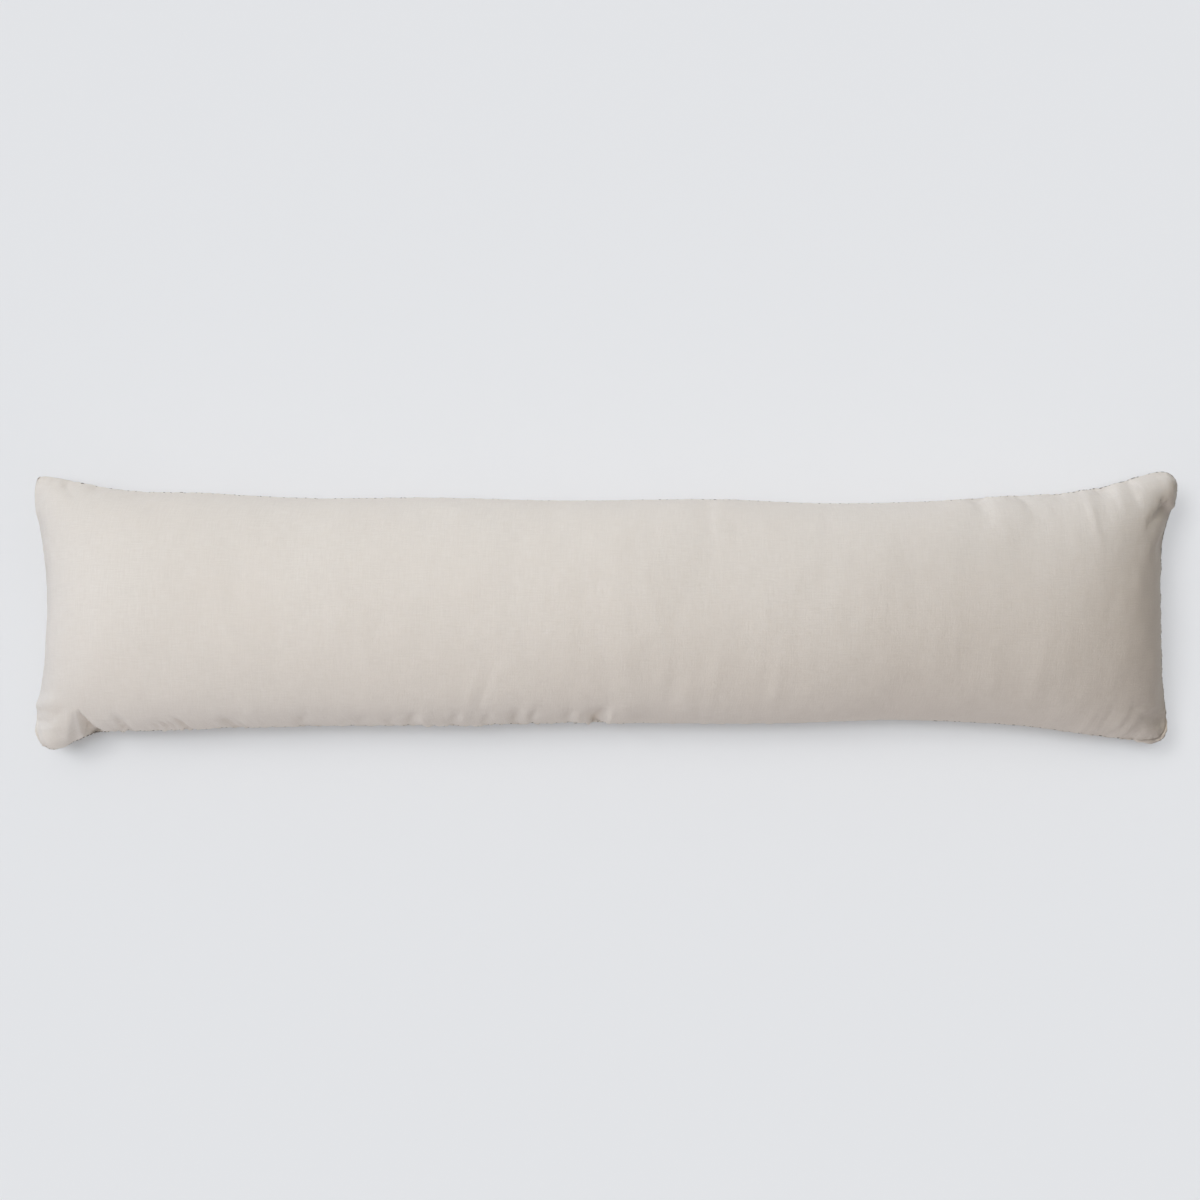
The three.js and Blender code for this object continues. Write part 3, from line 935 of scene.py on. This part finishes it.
class Nodes:
    """A tree's nodes, added one at a time with their inputs."""

    def __init__(self, tree):
        self.tree = tree

    def put(self, socket, value):
        """Links an output to the socket, or sets the socket's own value."""
        if isinstance(value, bpy.types.NodeSocket):
            self.tree.links.new(value, socket)
        else:
            socket.default_value = value

    def add(self, kind, inputs=(), **settings):
        """A new node of a kind."""
        node = self.tree.nodes.new(kind)
        for key, value in settings.items():
            setattr(node, key, value)
        for key, value in dict(inputs).items():
            self.put(node.inputs[key], value)
        return node


class Finish(Nodes):
    """A material's nodes."""

    def __init__(self, name):
        self.material = bpy.data.materials.new(name)
        self.material.use_nodes = True
        super().__init__(self.material.node_tree)
        self.shader = self.tree.nodes["Principled BSDF"]

    def surface(self, **values):
        """Puts values on the shader's sockets, whose names are given with _ for each space."""
        for key, value in values.items():
            self.put(self.shader.inputs[key.replace("_", " ")], value)

    def math(self, operation, *values):
        """The result of a sum, a product or another operation."""
        return self.add("ShaderNodeMath", enumerate(values), operation=operation).outputs[0]

    def noise(self, vector, scale, detail):
        """Smooth noise, from 0 to 1."""
        inputs = {"Vector": vector, "Scale": scale, "Detail": detail}
        return self.add("ShaderNodeTexNoise", inputs).outputs["Fac"]

    def spread(self, value, low, high):
        """The value, from 0 at low to 1 at high."""
        inputs = {"Value": value, "From Min": low, "From Max": high}
        return self.add("ShaderNodeMapRange", inputs).outputs["Result"]

    def blend(self, share, a, b):
        """The colour a, turned to b by the share."""
        node = self.add("ShaderNodeMix", data_type="RGBA")
        sockets = {socket.identifier: socket for socket in node.inputs}
        for key, value in (("Factor_Float", share), ("A_Color", a), ("B_Color", b)):
            self.put(sockets[key], value)
        return next(socket for socket in node.outputs if socket.identifier == "Result_Color")

    def scaled(self, vector, scale):
        """The flat cloth's place in metres, stretched by a factor each way."""
        inputs = {"Vector": vector, "Scale": scale}
        return self.add("ShaderNodeMapping", inputs).outputs["Vector"]


# The sewing


def sewing_tree(name, material, along_line):
    """A tree that puts a bar on every point, or at an even pitch along the line through them."""
    tree = bpy.data.node_groups.new(name, "GeometryNodeTree")
    new_socket = tree.interface.new_socket
    new_socket("Geometry", in_out="INPUT", socket_type="NodeSocketGeometry")
    new_socket("Geometry", in_out="OUTPUT", socket_type="NodeSocketGeometry")
    kinds = {"Pitch": "Float", "Length": "Float", "Thickness": "Float", "Seed": "Int"}
    sockets = {key: new_socket(key, in_out="INPUT", socket_type="NodeSocket" + kinds[key]) for key in kinds}
    nodes = Nodes(tree)
    given = nodes.add("NodeGroupInput").outputs
    if along_line:
        line = nodes.add("GeometryNodeMeshToCurve", {"Mesh": given["Geometry"]})
        inputs = {"Curve": line.outputs["Curve"], "Length": given["Pitch"]}
        sewn_at = nodes.add("GeometryNodeResampleCurve", inputs, mode="LENGTH")
    else:
        sewn_at = nodes.add("GeometryNodeMeshToPoints", {"Mesh": given["Geometry"]})
    bar = nodes.add("GeometryNodeMeshUVSphere", BAR)
    inputs = {"X": given["Thickness"], "Y": given["Thickness"], "Z": given["Length"]}
    size = nodes.add("ShaderNodeCombineXYZ", inputs)
    inputs = {"Geometry": bar.outputs["Mesh"], "Scale": size.outputs["Vector"]}
    shaped = nodes.add("GeometryNodeTransform", inputs)
    way = nodes.add("GeometryNodeInputNamedAttribute", {"Name": "way"}, data_type="FLOAT_VECTOR")
    inputs = {"Min": (-SLANT,) * 3, "Max": (SLANT,) * 3, "Seed": given["Seed"]}
    unevenly = nodes.add("FunctionNodeRandomValue", inputs, data_type="FLOAT_VECTOR")
    inputs = {0: way.outputs["Attribute"], 1: unevenly.outputs["Value"]}
    slanted = nodes.add("ShaderNodeVectorMath", inputs)
    inputs = {"Vector": slanted.outputs["Vector"]}
    turned = nodes.add("FunctionNodeAlignRotationToVector", inputs, axis="Z")
    scale = nodes.add("GeometryNodeInputNamedAttribute", {"Name": "scale"}, data_type="FLOAT")
    inputs = {
        "Points": sewn_at.outputs[0],
        "Instance": shaped.outputs["Geometry"],
        "Rotation": turned.outputs["Rotation"],
        "Scale": scale.outputs["Attribute"],
    }
    sewn = nodes.add("GeometryNodeInstanceOnPoints", inputs)
    real = nodes.add("GeometryNodeRealizeInstances", {"Geometry": sewn.outputs["Instances"]})
    inputs = {"Geometry": real.outputs["Geometry"], "Material": material}
    finish = nodes.add("GeometryNodeSetMaterial", inputs)
    nodes.add("NodeGroupOutput", {"Geometry": finish.outputs["Geometry"]})
    return tree, sockets


def seam_thread(name, points, ways, scales, material, sizes):
    """Small bars of thread that lie their own way, on the points or along their closed line."""
    pitch = sizes.get("pitch")
    count = len(points)
    edges = [(i, (i + 1) % count) for i in range(count)] if pitch else []
    mesh = bpy.data.meshes.new(name)
    mesh.from_pydata(points.tolist(), edges, [])
    mesh.attributes.new("way", "FLOAT_VECTOR", "POINT").data.foreach_set("vector", ways.ravel())
    mesh.attributes.new("scale", "FLOAT", "POINT").data.foreach_set("value", scales)
    piece = bpy.data.objects.new(name, mesh)
    bpy.context.scene.collection.objects.link(piece)
    tree, sockets = sewing_tree(name, material, bool(pitch))
    modifier = piece.modifiers.new(name, "NODES")
    modifier.node_group = tree
    modifier[sockets["Pitch"].identifier] = pitch or 1.0
    modifier[sockets["Length"].identifier] = sizes["length"]
    modifier[sockets["Thickness"].identifier] = sizes["thickness"]
    modifier[sockets["Seed"].identifier] = SEED
    bpy.context.view_layer.update()
    depsgraph = bpy.context.evaluated_depsgraph_get()
    piece.data = bpy.data.meshes.new_from_object(piece.evaluated_get(depsgraph), depsgraph=depsgraph)
    piece.modifiers.clear()
    return piece


# Materials


def plain_weave(nodes, place, pitch):
    """The height of a plain weave, from 0 to 1: each thread goes over and under the ones across it."""
    parts = nodes.add("ShaderNodeSeparateXYZ", {"Vector": place})
    x = nodes.math("DIVIDE", parts.outputs["X"], pitch)
    y = nodes.math("DIVIDE", parts.outputs["Y"], pitch)
    thread_x = nodes.math("ABSOLUTE", nodes.math("SINE", nodes.math("MULTIPLY", x, math.pi)))
    thread_y = nodes.math("ABSOLUTE", nodes.math("SINE", nodes.math("MULTIPLY", y, math.pi)))
    cells = nodes.math("ADD", nodes.math("FLOOR", x), nodes.math("FLOOR", y))
    over = nodes.math("FRACT", nodes.math("MULTIPLY", cells, 0.5))
    dip_x = nodes.math("ADD", nodes.math("MULTIPLY", thread_x, 0.5), 0.5)
    dip_y = nodes.math("ADD", nodes.math("MULTIPLY", thread_y, 0.5), 0.5)
    lengthwise = nodes.math("MULTIPLY", thread_y, dip_x)
    crosswise = nodes.math("MULTIPLY", thread_x, dip_y)
    difference = nodes.math("SUBTRACT", crosswise, lengthwise)
    picked = nodes.math("MULTIPLY", difference, nodes.math("MULTIPLY", over, 2.0))
    return nodes.math("ADD", lengthwise, picked)


def woven_cloth(name, look):
    """Undyed woven cloth: a plain weave of uneven yarn with small slubs both ways, and painted shade
    between the threads.
    """
    nodes = Finish(name)
    place = nodes.add("ShaderNodeUVMap", uv_map="cut").outputs["UV"]
    wander = nodes.noise(place, WANDER_SCALE, 2.0)
    grain = nodes.noise(place, GRAIN_SCALE, 2.0)
    patches = nodes.noise(place, CLOUD_SCALE, 3.0)
    slubs = nodes.math("ADD", *(nodes.noise(nodes.scaled(place, scale), 1.0, 3.0) for scale in SLUB_SCALES))
    yarn = nodes.blend(nodes.spread(slubs, *TONE_RANGE), look["deep"], look["pale"])
    cloud_share = nodes.math("MULTIPLY", nodes.spread(patches, *CLOUD_RANGE), look["cloud_share"])
    colour = nodes.blend(cloud_share, yarn, look["cloud"])
    weave = plain_weave(nodes, place, look["pitch"])
    # Where the weave is low, between the threads, the colour turns darker: painted shade.
    gap = nodes.math("SUBTRACT", 1.0, nodes.spread(weave, *GAP_SHADE_RANGE))
    gap_shade_share = nodes.math("MULTIPLY", gap, look["gap_shade_share"])
    height = nodes.math("MULTIPLY", weave, look["weave_height"])
    for part, its_height in ((slubs, "slub_height"), (wander, "wander_height"), (grain, "grain_height")):
        height = nodes.math("ADD", height, nodes.math("MULTIPLY", part, look[its_height]))
    bump = nodes.add("ShaderNodeBump", {"Height": height, "Strength": 1.0, "Distance": 1.0})
    nodes.surface(
        Base_Color=nodes.blend(gap_shade_share, colour, look["gap"]),
        Normal=bump.outputs["Normal"],
        Roughness=look["roughness"],
        Specular_IOR_Level=CLOTH_GLOSS,
        Sheen_Weight=look["sheen"],
        Sheen_Roughness=SHEEN_ROUGHNESS,
    )
    return nodes.material


def thread_finish(name, colour):
    """Thread whose plies show as fine paler spots."""
    nodes = Finish(name)
    place = nodes.add("ShaderNodeTexCoord").outputs["Object"]
    plies = nodes.noise(place, PLY_SCALE, 1.0)
    pale = tuple(min(value * PLY_PALER, 1) for value in colour[:3]) + (1.0,)
    nodes.surface(Base_Color=nodes.blend(plies, colour, pale), Roughness=THREAD_ROUGHNESS)
    return nodes.material


def floor_finish():
    """A plain matt floor with the faintest unevenness."""
    nodes = Finish("studio_floor")
    place = nodes.add("ShaderNodeTexCoord").outputs["Object"]
    tone = nodes.noise(place, FLOOR_SCALE, 2.0)
    pale = tuple(value * FLOOR_PALER for value in FLOOR_COLOUR[:3]) + (1.0,)
    nodes.surface(Base_Color=nodes.blend(tone, FLOOR_COLOUR, pale), Roughness=1.0, Specular_IOR_Level=0.0)
    return nodes.material


# The scene


def studio():
    """The faint room light, with the backdrop that is seen behind the floor's far edge."""
    world = bpy.data.worlds.new("studio")
    world.use_nodes = True
    nodes, link = world.node_tree.nodes, world.node_tree.links.new
    room = nodes["Background"]
    backdrop = nodes.new("ShaderNodeBackground")
    for shader, look in ((room, ROOM), (backdrop, BACKDROP)):
        for socket, value in look.items():
            shader.inputs[socket].default_value = value
    seen = nodes.new("ShaderNodeLightPath").outputs["Is Camera Ray"]
    either = nodes.new("ShaderNodeMixShader")
    link(seen, either.inputs[0])
    link(room.outputs[0], either.inputs[1])
    link(backdrop.outputs[0], either.inputs[2])
    link(either.outputs[0], nodes["World Output"].inputs["Surface"])
    return world


def light(name, kind, strength, colour, width, place, way, receivers):
    """A light that falls only on the pieces of one collection."""
    data = bpy.data.lights.new(name, kind)
    data.energy = strength
    data.color = colour
    setattr(data, "angle" if kind == "SUN" else "size", width)
    lamp = bpy.data.objects.new(name, data)
    lamp.location = place
    lamp.rotation_euler = Vector(way).to_track_quat("-Z", "Y").to_euler()
    lamp.light_linking.receiver_collection = receivers
    bpy.context.scene.collection.objects.link(lamp)


# The cover

solid = welded(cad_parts["pillow"])
sides = rim_sides(rim_points(solid))
surface = BVHTree.FromBMesh(solid)
lines = (np.linspace(0, 1, PATCH_LINES[way]) for way in ("lengthwise", "crosswise"))
patch = filled(sides, *lines)
settled_upper = settled_panel(surface, patch, True)
settled_lower = settled_panel(surface, patch, False)
fine_s = fine_places(CUT_LENGTH, END_ZONE, WIDE_STEP["lengthwise"])
fine_t = fine_places(CUT_WIDTH, SIDE_ZONE, WIDE_STEP["crosswise"])
flat = flat_cut(fine_s, fine_t)
upper_points = rolled(settled_upper, settled_lower, flat, True)
lower_points = rolled(settled_upper, settled_lower, flat, False)
thickness = upper_points[..., 2] - lower_points[..., 2]
wanted_folds = sum(fold_height(upper_points, *fold) for fold in EAR_FOLDS)
folds = np.maximum(wanted_folds, -DEEPEST_FOLD * thickness)
pressed = np.maximum(wanted_folds - folds, -DEEPEST_PRESS * lower_points[..., 2])
upper_points = finished(upper_points, flat, True, folds)
lower_points = finished(lower_points, flat, False, folds)
lower_points[..., 2] = np.maximum(lower_points[..., 2] + pressed, 0)
upper_points[..., 2] = np.maximum(upper_points[..., 2] + pressed, lower_points[..., 2] + THINNEST)
edge = border(upper_points.shape[:2])
sunk = outward(upper_points, True) + outward(lower_points, False)
sunk /= np.linalg.norm(sunk, axis=-1, keepdims=True)
upper_points[edge] -= sunk[edge] * SEAM["groove"] * MM
lower_points[edge] = upper_points[edge]

upper_numbers, lower_numbers = panel_numbers(*upper_points.shape[:2])
upper_faces, lower_faces = quads(upper_numbers, True), quads(lower_numbers, False)
points = joined(upper_points, lower_points)
faces = np.concatenate([upper_faces, lower_faces])
cover = new_piece("pillow_cover", points, faces)
cut = joined(np.stack(flat, axis=-1), np.stack(flat, axis=-1))
corners = np.empty(len(cover.data.loops), dtype=int)
cover.data.loops.foreach_get("vertex_index", corners)
cover.data.uv_layers.new(name="cut").data.foreach_set("uv", cut[corners].ravel())
cover.data.polygons.foreach_set("use_smooth", np.ones(len(cover.data.polygons), dtype=bool))
cover.data.materials.append(woven_cloth("back_cloth", BACK_CLOTH))
cover.data.materials.append(woven_cloth("front_cloth", FRONT_CLOTH))
cover.data.polygons.foreach_set("material_index", (np.arange(len(faces)) >= len(upper_faces)).astype(int))
cover.data.update()

# The seam's stitches, which cross it, and the dashes, which lie along it

ring = round_border(*edge.shape)
seam_line = upper_points[ring]
seam_out = sunk[ring]
onward = np.roll(seam_line, -1, axis=0) - np.roll(seam_line, 1, axis=0)
across = np.cross(onward, seam_out)
across /= np.linalg.norm(across, axis=1, keepdims=True)
onward /= np.linalg.norm(onward, axis=1, keepdims=True)
stitches = seam_thread(
    "seam_stitches",
    seam_line + seam_out * STITCH_LIFT,
    across,
    np.ones(len(seam_line)),
    thread_finish("sewing_thread", SEWING_COLOUR),
    STITCH,
)
# The dark dashes and ticks: partly the under cloth's yarn, partly painted shade along the seam and the
# cover's edge.
dashed_at, dash_sizes = dash_places(BVHTree.FromPolygons(points.tolist(), faces.tolist()))
nearest = [np.argmin(np.hypot(*(seam_line[:, :2] - place[:2]).T)) for place in dashed_at]
dashes = seam_thread(
    "yarn_and_painted_shade_dashes",
    dashed_at,
    onward[nearest],
    dash_sizes,
    thread_finish("dark_yarn_and_painted_shade", DARK_YARN_AND_SHADE_COLOUR),
    DASH,
)

for piece in (cover, stitches, dashes):
    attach(piece, "root")
    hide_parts("pillow")

# The studio

floor_corners = [(x * FLOOR_HALF_WIDTH, y * FLOOR_HALF_WIDTH, FLOOR_HEIGHT) for x, y in FLOOR_CORNERS]
floor = new_piece("floor", floor_corners, [(0, 1, 2, 3)])
floor.data.materials.append(floor_finish())

bpy.context.scene.world = studio()
lit = {"pillow": (cover, stitches, dashes), "floor": (floor,)}
collections = {}
for name, pieces in lit.items():
    collections[name] = bpy.data.collections.new(name + "_lit")
    for piece in pieces:
        collections[name].objects.link(piece)
for name, receiver, *settings in LIGHTS:
    light(name, *settings, collections[receiver])

width = PHOTO_PIXELS * METRES_PER_PIXEL
lens = bpy.data.cameras.new("camera")
lens.lens = LENS["lens"]
lens.sensor_width = LENS["sensor_width"]
camera = bpy.data.objects.new("camera", lens)
camera.location = (
    (PHOTO_PIXELS / 2 - ORIGIN_PIXEL[0]) * METRES_PER_PIXEL,
    (ORIGIN_PIXEL[1] - PHOTO_PIXELS / 2) * METRES_PER_PIXEL,
    width / lens.sensor_width * lens.lens + SCALE_HEIGHT,
)
bpy.context.scene.collection.objects.link(camera)
bpy.context.scene.camera = camera
bpy.context.scene.view_settings.view_transform = "Standard"
